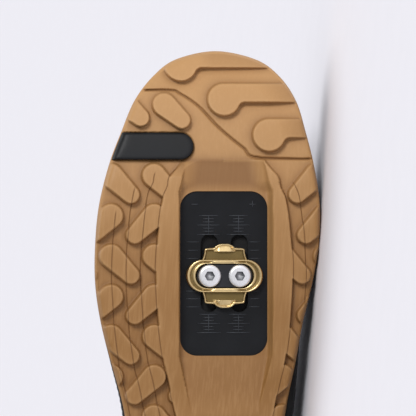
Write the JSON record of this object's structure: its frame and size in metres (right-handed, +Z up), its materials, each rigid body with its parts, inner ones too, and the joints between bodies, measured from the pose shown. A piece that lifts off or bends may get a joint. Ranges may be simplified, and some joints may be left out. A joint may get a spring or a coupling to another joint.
{
  "type": "cycling shoe",
  "caption": "Right mountain cycling shoe with gum tread, black laced upper and a two-bolt brass cleat, lying on its medial side.",
  "frame": {"origin": "on the floor under the middle of the shoe's box, as it lies on its medial side", "axes": "+X towards the toe, +Y from the sole towards the collar, +Z up, which is the shoe's lateral side"},
  "size_m": [0.2916, 0.1216, 0.1043],
  "materials": {
    "gum_rubber": "matt gum rubber, fine brushed grain",
    "badge_rubber": "satin black inlay, bare",
    "plate_nylon": "satin black nylon with fine ribs",
    "cleat_brass": "cast brass, polished rim",
    "washer_black": "black oxide",
    "bolt_steel": "bright turned steel",
    "midsole_foam": "matt black foam",
    "insole_cloth": "black knit cover",
    "upper_synthetic": "black synthetic with fine grain",
    "tongue_mesh": "black padded mesh",
    "lace_weave": "black flat woven lace",
    "eyelet_metal": "black ring"
  },
  "bodies": {
    "root": {"outsole": "gum_rubber", "badge": "badge_rubber", "cleat_plate": "plate_nylon", "cleat": "cleat_brass", "cleat_washer": "washer_black", "bolt_medial": "bolt_steel", "bolt_lateral": "bolt_steel", "midsole": "midsole_foam", "insole": "insole_cloth", "upper": "upper_synthetic", "tongue": "tongue_mesh", "laces": "lace_weave", "eyelet_medial_1": "eyelet_metal", "eyelet_medial_2": "eyelet_metal", "eyelet_medial_3": "eyelet_metal", "eyelet_medial_4": "eyelet_metal", "eyelet_medial_5": "eyelet_metal", "eyelet_medial_6": "eyelet_metal", "eyelet_lateral_1": "eyelet_metal", "eyelet_lateral_2": "eyelet_metal", "eyelet_lateral_3": "eyelet_metal", "eyelet_lateral_4": "eyelet_metal", "eyelet_lateral_5": "eyelet_metal", "eyelet_lateral_6": "eyelet_metal"}
  },
  "joints": []
}
